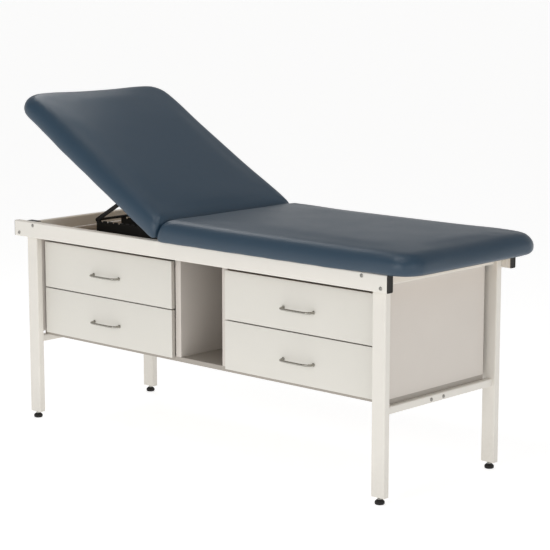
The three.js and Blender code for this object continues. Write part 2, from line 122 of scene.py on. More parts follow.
class UpholsterySettings(bpy.types.PropertyGroup):
    vinyl: colour_property("Vinyl", "Colour of the upholstery vinyl", "#243d50")
    height: length_property("Height", "Cushion height over its board's underside", 68, 20, 120)
    crown: length_property("Crown", "How much higher the middle stands", 4, 0, 30)
    shoulder: length_property("Shoulder", "Width of the rounded shoulder along the sides", 46, 20, 90)
    lip: length_property("Lip", "How far the lower edge hangs beside the rails", 5.2, 0, 15)
    pleat: length_property("Pleats", "Depth of the gathered folds at the hinge corners", 2.6, 0, 8)
    voxel: length_property("Voxel", "Cell size of the cushion mesh before it is smoothed", 8.4, 4, 20)


class FrameSettings(bpy.types.PropertyGroup):
    powder: colour_property("Powder coat", "Colour of the frame's powder coat", "#e3dfd7")
    plug: colour_property("Plugs", "Colour of the moulded end plugs", "#14110e")
    screw_radius: length_property("Screw radius", "Radius of the rails' screw heads", 6.2, 2, 12)


class CabinetSettings(bpy.types.PropertyGroup):
    front: colour_property("Fronts", "Colour of the drawer fronts' laminate", "#dcd9d1")
    panel: colour_property("Panels", "Colour of the cabinet's melamine", "#d6cfc7")
    edge: colour_property("Edge band", "Colour of the drawer fronts' edge band", "#b9b4ac")
    edge_radius: length_property("Edge radius", "Rounding of the drawer fronts' edges", 1.2, 0.3, 5)
    wire_radius: length_property("Pull wire", "Radius of the drawer pulls' wire", 3.9, 2, 8)


class StageSettings(bpy.types.PropertyGroup):
    floor: colour_property("Floor", "Colour of the studio floor", "#d0d0d0")
    lens: FloatProperty(
        name="Lens", description="Focal length of the camera", subtype="DISTANCE_CAMERA",
        default=123.06, min=20,
    )
    key: power_property("Key", "Power of the key light", 80)
    overhead: power_property("Overhead", "Power of the overhead light", 11)
    head: power_property("Head end", "Power of the light over the head end", 8)
    fill: power_property("Fill", "Power of the fill light", 25)
    sky: FloatProperty(name="Sky", description="Brightness of the white surround", default=0.38, min=0)
    glow: FloatProperty(name="Floor glow", description="Light given off by the lit floor", default=0.7, min=0)


# ------------ mesh helpers


def loft(rings, caps=True):
    """Skin over rings of equal point count. Quad (k, j) joins points j and j+1 of rings k and k+1, and each
    end ring is closed with one flat face. Returns (points, faces)."""
    rings = np.asarray(rings, float)
    count, around = rings.shape[:2]
    index = np.arange(count * around).reshape(count, around)
    low, high = index[:-1], index[1:]
    quads = np.stack([low, np.roll(low, -1, 1), np.roll(high, -1, 1), high], -1).reshape(-1, 4)
    faces = quads.tolist()
    if caps:
        faces += [index[0, ::-1].tolist(), index[-1].tolist()]
    return rings.reshape(-1, 3), faces


def placed(shell, x, y, z, origin):
    """A shell moved so that its own axes lie along x, y and z from origin: p = origin + px*x + py*y +
    pz*z."""
    points, faces = shell
    axes = np.array([x, y, z], float)
    return points @ axes + np.asarray(origin, float), faces


def coordinates(mesh):
    """The mesh's vertices as an array."""
    co = np.empty(len(mesh.vertices) * 3)
    mesh.vertices.foreach_get("co", co)
    return co.reshape(-1, 3)


def face_outwards(mesh, merge_within=0.0):
    """Turns a closed mesh's faces outwards, once points within a distance of each other are merged."""
    work = bmesh.new()
    work.from_mesh(mesh)
    if merge_within:
        bmesh.ops.remove_doubles(work, verts=work.verts, dist=merge_within)
    bmesh.ops.recalc_face_normals(work, faces=work.faces)
    work.to_mesh(mesh)
    work.free()


def scene_object(name, data):
    """A new object of the scene that shows data."""
    obj = bpy.data.objects.new(name, data)
    bpy.context.scene.collection.objects.link(obj)
    return obj


def mesh_object(name, shells):
    """A new object from shells, each (points, faces) in millimetres, as one mesh in metres."""
    mesh = bpy.data.meshes.new(name)
    points, faces, start = [], [], 0
    for shell_points, shell_faces in shells:
        points.append(shell_points * MM)
        faces += [[i + start for i in face] for face in shell_faces]
        start += len(shell_points)
    mesh.from_pydata(np.concatenate(points).tolist(), [], faces)
    face_outwards(mesh, merge_within=1e-6)
    return scene_object(name, mesh)


def piece(name, shells, materials, body, replaces=(), sharp=35):
    """One visible piece: its mesh, finish, the body that it rides on and the CAD nodes that it stands for."""
    obj = mesh_object(name, shells)
    for material in materials if isinstance(materials, list) else [materials]:
        obj.data.materials.append(material)
    obj.data.shade_smooth()
    obj.data.set_sharp_from_angle(angle=math.radians(sharp))
    if replaces:
        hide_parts(*replaces)
    if body:
        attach(obj, body)
    return obj


def place_of(node):
    """Lowest corner, highest corner and middle of a CAD node, in millimetres."""
    low, high = (np.array(corner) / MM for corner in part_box(node))
    return low, high, (low + high) / 2


def round_rectangle(half_x, half_y, radius, steps=5):
    """Outline, anticlockwise, of a rectangle whose corners are quarter circles: corner centre + radius*(cos
    a, sin a)."""
    angle = np.linspace(0, math.pi / 2, steps + 1)
    corner = np.array([[1, 1], [-1, 1], [-1, -1], [1, -1]])
    centre = corner * np.array([half_x - radius, half_y - radius])
    turned = angle[None] + np.arange(4)[:, None] * math.pi / 2
    arc = radius * np.stack([np.cos(turned), np.sin(turned)], -1)
    return (centre[:, None] + arc).reshape(-1, 2)


def walk(outline, count):
    """count points at equal steps along a closed outline, and their distances along it."""
    closed = np.vstack([outline, outline[:1]])
    length = np.concatenate([[0], np.cumsum(np.linalg.norm(np.diff(closed, axis=0), axis=1))])
    at = np.linspace(0, length[-1], count, endpoint=False)
    return np.stack([np.interp(at, length, closed[:, i]) for i in (0, 1)], -1), at


def slab(half_x, half_y, corner, profile, steps=5):
    """A prism with a shaped edge. Profile rows are (inset, z): ring k is the outline moved in by its inset,
    at z."""
    rings = []
    for inset, z in profile:
        outline = round_rectangle(half_x - inset, half_y - inset, max(corner - inset, 0.15), steps)
        rings.append(np.column_stack([outline, np.full(len(outline), float(z))]))
    return loft(rings)


def turned(profile, count=32, flute=None):
    """A turned shape: ring k is radius*(cos a, sin a) at height z, times flute(a, z) where a flute is
    given."""
    angle = np.arange(count) * 2 * math.pi / count
    radius, z = np.array(profile, float).T
    grid = np.broadcast_to(radius[:, None], (len(radius), count))
    if flute is not None:
        grid = grid * flute(angle[None], z[:, None])
    x, y = grid * np.cos(angle), grid * np.sin(angle)
    return loft(np.stack([x, y, np.broadcast_to(z[:, None], x.shape)], -1))


def swept(path, radius, up, count=14):
    """A round wire along a path in the plane across up: point = path + radius*(cos a * side + sin a * up),
    where side is the path's direction turned a quarter about up."""
    path, up = np.asarray(path, float), np.asarray(up, float)
    along = np.gradient(path, axis=0)
    along /= np.linalg.norm(along, axis=1, keepdims=True)
    side = np.cross(up, along)
    angle = np.arange(count) * 2 * math.pi / count
    ring = np.cos(angle)[None, :, None] * side[:, None] + np.sin(angle)[None, :, None] * up
    girth = np.broadcast_to(np.asarray(radius, float).reshape(-1, 1, 1), (len(path), 1, 1))
    return loft(path[:, None] + girth * ring)


def smooth(value, low, high):
    """0 below low, 1 above high, and 3t^2 - 2t^3 between, t being the share of the way."""
    t = np.clip((value - low) / (high - low), 0, 1)
    return t * t * (3 - 2 * t)


# ------------ finishes

FACTOR, FIRST, SECOND, MIXED = 0, 6, 7, 2  # a colour mix node's sockets by number, since their names repeat


def add(tree, kind, links=None, **settings):
    """Adds a node of a kind with its settings. links maps an input's name or number to a value or an
    output."""
    node = tree.nodes.new(kind)
    for key, value in settings.items():
        setattr(node, key, value)
    for key, value in (links or {}).items():
        if isinstance(value, bpy.types.NodeSocket):
            tree.links.new(value, node.inputs[key])
        else:
            node.inputs[key].default_value = value
    return node


def finish(name, **sockets):
    """A new material with a Principled shader whose named sockets are set. Returns (material, tree, shader,
    place), place being the output of the object's own coordinates."""
    material = bpy.data.materials.new(name)
    material.use_nodes = True
    tree = material.node_tree
    tree.nodes.clear()
    shader = add(tree, "ShaderNodeBsdfPrincipled", {k.replace("_", " "): v for k, v in sockets.items()})
    add(tree, "ShaderNodeOutputMaterial", {"Surface": shader.outputs[0]})
    return material, tree, shader, add(tree, "ShaderNodeTexCoord").outputs["Object"]


def shade(code_or_colour, factor):
    """A colour made darker or lighter by a factor on its linear channels."""
    colour = linear(code_or_colour) if isinstance(code_or_colour, str) else tuple(code_or_colour)
    return (*[min(c * factor, 1.0) for c in colour[:3]], 1.0)


def clouded(tree, place, colour, dark, light, width, detail):
    """A colour that drifts between two of its shades in clouds of a width in metres, as (share, tone)."""
    cloud = add(tree, "ShaderNodeTexNoise", {"Vector": place, "Scale": 1 / width, "Detail": detail})
    tone = add(tree, "ShaderNodeMix", {
        FACTOR: cloud.outputs[0], FIRST: shade(colour, dark), SECOND: shade(colour, light)
    }, data_type="RGBA")
    return cloud.outputs[0], tone.outputs[MIXED]


def coat(tree, shader, factor, first, second, height, strength, depth):
    """Colours a shader from first to second as factor goes from 0 to 1, and embosses it by height, with a
    strength and a depth in metres."""
    tone = add(tree, "ShaderNodeMix", {FACTOR: factor, FIRST: first, SECOND: second}, data_type="RGBA")
    tree.links.new(tone.outputs[MIXED], shader.inputs["Base Color"])
    bump = add(tree, "ShaderNodeBump", {"Strength": strength, "Distance": depth, "Height": height})
    tree.links.new(bump.outputs[0], shader.inputs["Normal"])


def powder_coated_steel(colour):
    """Polyester powder on mild steel, sprayed and baked: a satin film with faint orange peel, here 3.2 mm
    across so that it shows, slight unevenness of colour over 90 mm, and a little grime low on the legs."""
    material, tree, shader, place = finish("powder_coated_steel", Roughness=0.42, IOR=1.5)
    _, tone = clouded(tree, place, colour, 0.965, 1.02, 0.09, 3.0)
    height = add(tree, "ShaderNodeSeparateXYZ", {0: place}).outputs["Z"]
    low = add(tree, "ShaderNodeMapRange", {"Value": height, "From Min": 0.16, "From Max": 0.02})
    scuff = add(tree, "ShaderNodeTexNoise", {"Vector": place, "Scale": 1 / 0.012, "Detail": 6.0})
    dirt = add(tree, "ShaderNodeMath", {0: low.outputs[0], 1: scuff.outputs[0]}, operation="MULTIPLY")
    faint = add(tree, "ShaderNodeMath", {0: dirt.outputs[0], 1: 0.22}, operation="MULTIPLY")
    peel = add(tree, "ShaderNodeTexNoise", {"Vector": place, "Scale": 1 / 0.0032, "Detail": 1.0})
    coat(tree, shader, faint.outputs[0], tone, linear("#8d8374"), peel.outputs[0], 0.1, 0.0004)
    return material


def melamine_panel(colour, name="melamine_particleboard", dark=0.95):
    """Melamine paper pressed on particleboard: a hard matt skin with the press plate's fine pebble, here 2.4
    mm across so that it shows, and a printed tone that hardly varies."""
    material, tree, shader, place = finish(name, Roughness=0.5, IOR=1.5)
    _, tone = clouded(tree, place, colour, dark, 1.015, 0.14, 4.0)
    speck = add(tree, "ShaderNodeTexNoise", {"Vector": place, "Scale": 1 / 0.0016, "Detail": 2.0})
    grit = add(tree, "ShaderNodeMapRange", {
        "Value": speck.outputs[0], "From Min": 0.56, "From Max": 0.8, "To Max": 0.35
    })
    pebble = add(tree, "ShaderNodeTexVoronoi", {"Vector": place, "Scale": 1 / 0.0024}, feature="SMOOTH_F1")
    coat(tree, shader, grit.outputs[0], tone, shade(colour, 0.8), pebble.outputs[0], 0.12, 0.0003)
    return material


def edge_band(colour):
    """PVC tape ironed on a board's edge: a smooth satin strip, a shade greyer than the faces."""
    material, tree, shader, place = finish("pvc_edge_band", Roughness=0.38, IOR=1.5)
    _, tone = clouded(tree, place, colour, 0.94, 1.03, 0.02, 3.0)
    tree.links.new(tone, shader.inputs["Base Color"])
    return material


def upholstery_vinyl(colour):
    """Expanded PVC upholstery, embossed like leather: cells 2.6 mm across, drawn coarse enough to show, under
    a satin topcoat, with soft tone changes where the hand has stretched it."""
    material, tree, shader, place = finish(
        "upholstery_vinyl", Roughness=0.38, IOR=1.5, Specular_IOR_Level=0.55
    )
    share, tone = clouded(tree, place, colour, 0.93, 1.05, 0.11, 3.0)
    warp = add(tree, "ShaderNodeTexNoise", {"Vector": place, "Scale": 1 / 0.006, "Detail": 2.0})
    shift = add(tree, "ShaderNodeVectorMath", {0: warp.outputs[1], 3: 0.0016}, operation="SCALE")
    moved = add(tree, "ShaderNodeVectorMath", {0: place, 1: shift.outputs[0]}, operation="ADD")
    cells = add(tree, "ShaderNodeTexVoronoi", {
        "Vector": moved.outputs[0], "Scale": 1 / 0.0026
    }, feature="DISTANCE_TO_EDGE")
    crease = add(tree, "ShaderNodeMapRange", {"Value": cells.outputs[0], "From Max": 0.12})
    # painted shade: the grain's creases are coloured a fifth darker than the rest of the skin
    crease_shaded = add(tree, "ShaderNodeMix", {
        FACTOR: crease.outputs[0], FIRST: shade(colour, 0.8), SECOND: tone
    }, data_type="RGBA")
    tree.links.new(crease_shaded.outputs[MIXED], shader.inputs["Base Color"])
    grain = add(tree, "ShaderNodeBump", {"Strength": 0.22, "Distance": 0.0005, "Height": crease.outputs[0]})
    slack = add(tree, "ShaderNodeTexNoise", {"Vector": place, "Scale": 1 / 0.07, "Detail": 2.0})
    skin = add(tree, "ShaderNodeBump", {
        "Strength": 0.12, "Distance": 0.004, "Height": slack.outputs[0], "Normal": grain.outputs[0]
    })
    tree.links.new(skin.outputs[0], shader.inputs["Normal"])
    rough = add(tree, "ShaderNodeMapRange", {"Value": share, "To Min": 0.34, "To Max": 0.42})
    tree.links.new(rough.outputs[0], shader.inputs["Roughness"])
    return material


def moulded_plastic(name, code, roughness, grain):
    """Moulded polyethylene or rubber: dark, with the grain of a spark-eroded mould, given in metres and drawn
    at least 1.5 mm across so that it shows, and soft-edged painted highlights that make the colour lighter
    where the grain stands up."""
    material, tree, shader, place = finish(name, Roughness=roughness, IOR=1.5, Specular_IOR_Level=0.3)
    grit_and_highlights = add(tree, "ShaderNodeTexNoise", {"Vector": place, "Scale": 1 / grain, "Detail": 3.0})
    grit = grit_and_highlights.outputs[0]
    # painted highlights: the colour goes from a darker to a lighter shade where the grit stands up
    coat(tree, shader, grit, shade(code, 0.8), shade(code, 1.35), grit, 0.25, 0.0003)
    return material


def black_enamelled_steel():
    """Stoved black enamel on pressed steel: dark satin film, rubbed grey in small patches where parts
    slide."""
    material, tree, shader, place = finish(
        "black_enamelled_steel", Roughness=0.45, IOR=1.5, Specular_IOR_Level=0.3
    )
    rub = add(tree, "ShaderNodeTexNoise", {"Vector": place, "Scale": 1 / 0.018, "Detail": 6.0})
    worn = add(tree, "ShaderNodeMapRange", {"Value": rub.outputs[0], "From Min": 0.62, "From Max": 0.75})
    peel = add(tree, "ShaderNodeTexNoise", {"Vector": place, "Scale": 1 / 0.002, "Detail": 1.0})
    black, grey = linear("#0a0a09"), linear("#1e1d1b")
    coat(tree, shader, worn.outputs[0], black, grey, peel.outputs[0], 0.12, 0.0003)
    return material


def plated_metal(name, code, roughness, stretch=(1, 1, 1)):
    """Plated steel: full metal, with fine drawing marks 0.8 mm apart that run along the axis whose stretch is
    low, and a faint change of gloss."""
    material, tree, shader, place = finish(name, Metallic=1.0, Roughness=roughness, Base_Color=linear(code))
    lines = add(tree, "ShaderNodeMapping", {"Vector": place, "Scale": stretch})
    marks = add(tree, "ShaderNodeTexNoise", {"Vector": lines.outputs[0], "Scale": 1 / 0.0008, "Detail": 3.0})
    rough = add(tree, "ShaderNodeMapRange", {
        "Value": marks.outputs[0], "To Min": roughness - 0.06, "To Max": roughness + 0.1
    })
    tree.links.new(rough.outputs[0], shader.inputs["Roughness"])
    mark = marks.outputs[0]
    coat(tree, shader, mark, shade(code, 0.9), shade(code, 1.06), mark, 0.08, 0.0002)
    return material


def birch_plywood():
    """Rotary-cut birch ply, sanded: pale brown with flame grain along X, rings about 9 mm apart."""
    material, tree, shader, place = finish("birch_plywood", Roughness=0.62, IOR=1.5)
    along = add(tree, "ShaderNodeMapping", {"Vector": place, "Scale": (0.12, 1.0, 1.0)})
    grain = add(tree, "ShaderNodeTexNoise", {
        "Vector": along.outputs[0], "Scale": 1 / 0.03, "Detail": 5.0, "Distortion": 1.2
    })
    rings = add(tree, "ShaderNodeMath", {0: grain.outputs[0], 1: 9.0}, operation="MULTIPLY")
    wave = add(tree, "ShaderNodeMath", {0: rings.outputs[0], 1: 1.0}, operation="PINGPONG")
    ring = wave.outputs[0]
    coat(tree, shader, ring, linear("#b9976b"), linear("#cdb086"), ring, 0.1, 0.0003)
    return material


# ------------ cushions

HINGE_SHOULDER = 20.0  # width of the small rounding where two sections meet
SIDE_RISE = 22.0  # upright part of a side above the underside
END_RISE = 50.0  # upright part of an end face
PLAN_CORNER = 95.0  # plan radius of the corners away from the hinge
FORM_CORNER = 80.0  # the same on the form, since relaxing the cover rounds its corners further
LEAN = math.tan(REST_ANGLE / 2)  # end faces lean so that two sections meet in the plane between them
HINGE_GAP = 3.2  # from the hinge axis to an end face, at the underside
SLIM = 5.0  # the form starts this much smaller, since stuffing swells it
STUFFING_FRAMES = 20
BOARD_MARGIN = 24.0  # from the cushion's outline to its board's
POCKET_MARGIN = 19.5  # from the cushion's outline to the wall of the board's pocket, clear of the board
POCKET_DEPTH = 12.7


def section(body, node, along, normal):
    """What a cushion is built from: its body, its CAD solid, its two directions, and its reach from the
    hinge."""
    co = coordinates(frame["nodes"][node].data) - HINGE
    along, normal = np.array(along, float), np.array(normal, float)
    end, half = float((co @ along).max() / MM), float(co[:, 1].max() / MM)
    return {"body": body, "node": node, "along": along, "normal": normal, "end": end, "half": half}


COS, SIN = math.cos(REST_ANGLE), math.sin(REST_ANGLE)
CUSHIONS = {
    "seat": section("frame", "seat_cushion", (1, 0, 0), (0, 0, 1)),
    "backrest": section("backrest", "backrest_cushion", (-COS, 0, SIN), (SIN, 0, COS)),
}


def cushion_form(start, end, half, shoulder, height):
    """Closed form of a cushion lying flat, as rings that are moved in from its outline by (1 - r) times the
    shoulder. A corner away from the hinge is corner centre + (radius - inset) * (cos a, sin a), and one at
    the hinge is a narrow superellipse of power 4. The top is rise + (height - rise) * (1 - r^2)^0.5, where
    rise goes from a side's to an end's by the cube of u, and the lower edge is a quarter circle."""
    steps = 14  # points round a corner
    angle = np.linspace(0, math.pi / 2, steps)
    cos, sin = np.cos(angle), np.sin(angle)
    square_cos, square_sin = cos**0.5, sin**0.5
    # corners anticlockwise: far +y, hinge +y, hinge -y, far -y; u is the share along s, v along y
    u = np.concatenate([cos, -square_sin, -square_cos, sin])
    v = np.concatenate([sin, square_cos, -square_sin, -cos])
    far = np.repeat([True, False, False, True], steps)
    upper_half = np.repeat([1, 1, -1, -1], steps)
    spare = 3.0  # plan radius left at a hinge corner once the shoulder has been taken off
    radius_s = np.where(far, FORM_CORNER, HINGE_SHOULDER + spare)
    radius_y = np.where(far, FORM_CORNER, shoulder + spare)
    centre_s = np.where(far, end - radius_s, start + radius_s)
    centre_y = upper_half * (half - radius_y)
    inset_s = np.where(far, shoulder, HINGE_SHOULDER)
    rise = SIDE_RISE + (END_RISE - SIDE_RISE) * np.where(far, 0, np.abs(u) ** 3)
    edge = 12.0  # radius of the lower edge
    lower = [(edge * (1 - math.sin(a)), edge * (1 - math.cos(a))) for a in np.linspace(0, math.pi / 2, 6)]
    rings = [(inset / shoulder, np.full(len(u), z)) for inset, z in [(shoulder, 0.0), *lower]]
    for a in np.linspace(0, math.pi / 2, 12):
        rings.append((1 - math.cos(a), rise + (height - rise) * math.sin(a)))
    return loft([
        np.stack([
            centre_s + u * (radius_s - share * inset_s), centre_y + v * (radius_y - share * shoulder), z
        ], -1) for share, z in rings
    ])


def applied(obj):
    """Replaces an object's mesh with its evaluated one, and drops the modifiers."""
    graph = bpy.context.evaluated_depsgraph_get()
    mesh = bpy.data.meshes.new_from_object(obj.evaluated_get(graph))
    obj.modifiers.clear()
    obj.data = mesh
    return mesh


def stuff(obj, cap):
    """Lets the cover swell as cloth under pressure, and keeps each point within cap of where it was. Points
    near the underside hardly move, since the cover is stapled to a board there. All lengths are in metres."""
    mesh = obj.data
    before = coordinates(mesh)
    held = smooth(before[:, 2], 0.030, 0.008)
    group = obj.vertex_groups.new(name="held")
    for share in np.unique(np.round(held, 2)):
        if share > 0:
            members = np.flatnonzero(np.round(held, 2) == share).tolist()
            group.add(members, float(share), "REPLACE")
    cloth = obj.modifiers.new("Stuffing", "CLOTH")
    fabric = cloth.settings
    fabric.quality = 4
    fabric.mass = 0.3
    fabric.use_pressure = True
    fabric.uniform_pressure_force = 4
    fabric.tension_stiffness = 25
    fabric.bending_stiffness = 2
    fabric.effector_weights.gravity = 0
    fabric.vertex_group_mass = "held"
    cloth.point_cache.frame_start, cloth.point_cache.frame_end = 1, STUFFING_FRAMES
    scene = bpy.context.scene
    for number in range(1, STUFFING_FRAMES + 1):
        scene.frame_set(number)
    graph = bpy.context.evaluated_depsgraph_get()
    after = coordinates(obj.evaluated_get(graph).data)
    scene.frame_set(1)
    obj.modifiers.clear()
    obj.vertex_groups.clear()
    # near its four corners the cover is cut to shape and hardly swells
    low, high = before.min(0), before.max(0)
    to_end = np.minimum(before[:, 0] - low[0], high[0] - before[:, 0])
    to_side = np.minimum(before[:, 1] - low[1], high[1] - before[:, 1])
    held = np.maximum(held, smooth(to_end, 0.3, 0.05) * smooth(to_side, 0.3, 0.05))
    step = after - before
    reach = np.linalg.norm(step, axis=1, keepdims=True)
    step *= cap * np.tanh(reach / cap) / np.maximum(reach, 1e-9) * (1 - held[:, None])
    mesh.vertices.foreach_set("co", (before + step).ravel())


def tailor(co, start, end, half, settings):
    """Shapes a stuffed cushion, lying flat, in millimetres. The middle is crowned by a cosine to the power
    0.8 across and eased along, the far corners drop a little, the lower edge hangs beside the rails and waves
    by three sines, folds fan out from the hinge corners by a cosine of 9 times the angle, dying as
    exp(-(r/52)^2) about a corner that sinks as exp(-(r/30)^2), a pocket takes the board, and the end face
    leans by LEAN times the height."""
    s, y, z = co.T.copy()
    beside, beyond = half - np.abs(y), end - s
    dome = np.cos(np.clip(y / half, -1, 1) * math.pi / 2) ** 0.8
    z += settings.crown / MM * smooth(z, 20, 55) * dome * smooth(beyond, 0, 260) * smooth(s - start, -40, 160)
    corner_drop, corner_sink, overlap = 4.0, 5.0, 6
    z -= corner_drop * smooth(beyond, 170, 30) * smooth(beside, 170, 30) * smooth(z, 20, 60)
    hang = settings.lip / MM * smooth(beyond, 90, 330)
    ripple = 0.7 * np.sin(s / 23) * np.sin(s / 61 + 2) + 0.5 * np.sin(y / 19 + 1)
    z -= (hang + ripple * smooth(z, 26, 6)) * smooth(beside, 13.5, 6) * smooth(z, 34, 4)
    for side in (-1, 1):
        across, ahead = half - overlap - side * y, s - start + overlap
        away = np.hypot(across, ahead)
        angle = np.arctan2(across, ahead)
        fan = np.cos(9 * angle) * np.exp(-((away / 52) ** 2)) * smooth(away, 4, 20) * smooth(z, 4, 22)
        z += settings.pleat / MM * fan * 0.9
        y -= side * settings.pleat / MM * fan * 0.45
        z -= corner_sink * np.exp(-((away / 30) ** 2)) * smooth(z, 0, 20)
    corner = np.hypot(np.maximum(s - (end - PLAN_CORNER), 0), np.maximum(np.abs(y) - (half - PLAN_CORNER), 0))
    pocket = (z < 12) & (s > start + 9) & (beyond > POCKET_MARGIN) & (beside > POCKET_MARGIN)
    pocket &= corner < PLAN_CORNER - POCKET_MARGIN
    # more than 16 in from the outline nothing hangs below the underside
    lowest = np.where(np.minimum(beside, beyond) > 16, 0.25, -12)
    z = np.where(pocket, POCKET_DEPTH, np.maximum(z, lowest))
    s += LEAN * z * smooth(s - start, 130, 10)
    return np.stack([s, y, z], -1)


def make_cushion(name, settings, material):
    """A foam section in its vinyl cover, made lying flat and then turned about the hinge to its place."""
    shape = CUSHIONS[name]
    start, end, half, along, normal = HINGE_GAP, shape["end"], shape["half"], shape["along"], shape["normal"]
    shoulder, height = settings.shoulder / MM, settings.height / MM
    form = cushion_form(start, end - SLIM, half - SLIM, shoulder, height - SLIM)
    obj = mesh_object(f"{name}_cover", [form])
    remesh = obj.modifiers.new("Cells", "REMESH")
    remesh.mode = "VOXEL"
    remesh.voxel_size = settings.voxel
    applied(obj)
    stuff(obj, cap=0.005)
    relax = obj.modifiers.new("Relax", "SMOOTH")
    relax.factor, relax.iterations = 0.5, 14
    split = obj.modifiers.new("Finer", "SUBSURF")
    split.levels = split.render_levels = 1
    mesh = applied(obj)
    co = coordinates(mesh) / MM
    low, high = co.min(0), co.max(0)
    # brought back to the CAD solid's outer size, side by side and end to end
    co[:, 0] = start + (co[:, 0] - low[0]) * (end - start) / (high[0] - low[0])
    co[:, 1] *= 2 * half / (high[1] - low[1])
    # its height is set within 8 of the shoulder, away from the ends, so the doming comes on top
    beside = half - np.abs(co[:, 1])
    inside = (co[:, 0] > start + 150) & (co[:, 0] < end - 150)
    ridge = inside & (np.abs(beside - shoulder) < 8) & (co[:, 2] > 30)
    co[:, 2] = (co[:, 2] - low[2]) * height / (np.median(co[ridge, 2]) - low[2])
    co = tailor(co, start, end, half, settings)
    place = HINGE / MM + co[:, :1] * along + co[:, 1:2] * AXES[1] + (co[:, 2:] + UNDERSIDE) * normal
    mesh.vertices.foreach_set("co", (place * MM).ravel())
    face_outwards(mesh)
    mesh.materials.clear()
    mesh.materials.append(material)
    mesh.shade_smooth()
    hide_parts(shape["node"])
    if shape["body"] == "frame":
        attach(obj, "frame")
        return obj
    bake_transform(obj)
    return obj


def make_hem(name, material, staple_material):
    """The cover's edge, turned under the board: a band 0.2 thick from 5 outside the board's outline to 32
    inside it, where it waves by a sine, with 64 staples at equal steps round it."""
    shape = CUSHIONS[name]
    along, normal, body = shape["along"], shape["normal"], shape["body"]
    first = float(((coordinates(frame["nodes"][f"{name}_board"].data) - HINGE) @ along).min() / MM)
    last = shape["end"] - BOARD_MARGIN
    half_s, half_y, corner = (last - first) / 2, shape["half"] - BOARD_MARGIN, PLAN_CORNER - BOARD_MARGIN

    def outline(inset, count):
        board = round_rectangle(half_s - inset, half_y - inset, corner - inset, 8)
        board[:, 0] = np.where(board[:, 0] < 0, inset - half_s, board[:, 0])
        return walk(board, count)

    outer, at = outline(-5.0, 360)
    inner, _ = outline(32.0, 360)
    inner = inner * (1 + 0.006 * np.sin(at / 11)[:, None] * np.array([0.6, 1.0]))
    rings = [np.column_stack([edge, np.full(len(edge), z)])
             for edge, z in ((outer, -0.05), (inner, -0.05), (inner, -0.25), (outer, -0.25), (outer, -0.05))]
    middle = np.array([(first + last) / 2, 0, 0])
    points, faces = loft(rings, caps=False)
    place = along, AXES[1], normal, HINGE / MM + UNDERSIDE * normal
    piece(f"{name}_hem", [placed((points + middle, faces), *place)], material, body, sharp=60)
    line, _ = outline(27.0, 64)
    ahead = np.roll(line, -1, 0) - line
    ahead /= np.linalg.norm(ahead, axis=1, keepdims=True)
    bar = slab(4.8, 0.6, 0.5, [(0.1, -0.95), (0, -0.7), (0, -0.2)], steps=1)
    staples = []
    for spot, (s, y) in zip(line, ahead):
        staples.append(placed(placed(bar, [s, y, 0], [-y, s, 0], AXES[2], middle + [*spot, 0]), *place))
    piece(f"{name}_staples", staples, staple_material, body)


class EXAM_TABLE_OT_cushions(bpy.types.Operator):
    """Seat and backrest cushions, crowned and covered in vinyl, with their hems and staples"""

    bl_idname = "exam_table.cushions"
    bl_label = "Cushions"

    def execute(self, context):
        settings = context.scene.exam_table_upholstery
        vinyl = upholstery_vinyl(settings.vinyl)
        staple = plated_metal("galvanised_staple", "#b4b3ae", 0.32)
        for name in CUSHIONS:
            make_cushion(name, settings, vinyl)
            make_hem(name, vinyl, staple)
        return {"FINISHED"}


# ------------ drawers


class EXAM_TABLE_OT_drawer_fronts(bpy.types.Operator):
    """Four laminate drawer fronts with rounded, banded edges"""

    bl_idname = "exam_table.drawer_fronts"
    bl_label = "Drawer fronts"

    def execute(self, context):
        settings = context.scene.exam_table_cabinet
        face = melamine_panel(settings.front, "laminate_drawer_front", dark=0.975)
        band = edge_band(settings.edge)
        r = settings.edge_radius / MM
        turn = np.linspace(0, math.pi / 2, 4)
        back = [(r * (1 - math.sin(a)), r * (1 - math.cos(a))) for a in turn]
        for body in DRAWERS:
            node = f"{body}_front"
            low, high, middle = place_of(node)
            half = (high - low) / 2
            thick = high[1] - low[1]
            front = [(inset, thick - depth) for inset, depth in back[::-1]]
            shell = slab(half[0], half[2], 1.6, [*back, *front], steps=3)
            shell = placed(shell, *OUTWARDS, [middle[0], high[1], middle[2]])
            obj = piece(f"{node}_panel", [shell], [face, band], body, [node], sharp=50)
            normals = np.empty(len(obj.data.polygons) * 3)
            obj.data.polygons.foreach_get("normal", normals)
            edge = np.abs(normals.reshape(-1, 3)[:, 1]) < 0.5
            obj.data.polygons.foreach_set("material_index", edge.astype(np.int32))
        return {"FINISHED"}


class EXAM_TABLE_OT_drawer_pulls(bpy.types.Operator):
    """Four bowed wire pulls with collars where they meet the fronts"""

    bl_idname = "exam_table.drawer_pulls"
    bl_label = "Drawer pulls"

    def execute(self, context):
        radius = context.scene.exam_table_cabinet.wire_radius / MM
        metal = plated_metal("satin_nickel_wire", "#a09d95", 0.24, (0.1, 1, 1))
        angle = np.linspace(0, math.pi, 61)
        collar = turned(
            [(radius + 2.4, 0), (radius + 2.4, 0.8), (radius + 1.6, 1.7), (radius * 0.9, 2.0)], 28
        )
        for body in DRAWERS:
            low, high, middle = place_of(f"{body}_pull")
            half, reach = (high[0] - low[0]) / 2 - radius, high[1] - low[1] - radius - 0.3
            x = half * np.sign(np.cos(angle)) * np.abs(np.cos(angle)) ** 0.36
            y = -reach * np.sin(angle) ** 0.62
            path = np.stack([x, y, np.zeros_like(x)], -1)
            wire = swept(path, radius * (1 - 0.1 * np.sin(angle) ** 8), AXES[2], 16)
            foot = [high[1] - 0.02, middle[2]]
            shells = [placed(wire, *AXES, [middle[0], *foot])]
            for side in (-1, 1):
                shells.append(placed(collar, *OUTWARDS, [middle[0] + side * half, *foot]))
            piece(f"{body}_pull_wire", shells, metal, body, [f"{body}_pull"], sharp=50)
        return {"FINISHED"}


# ------------ small parts


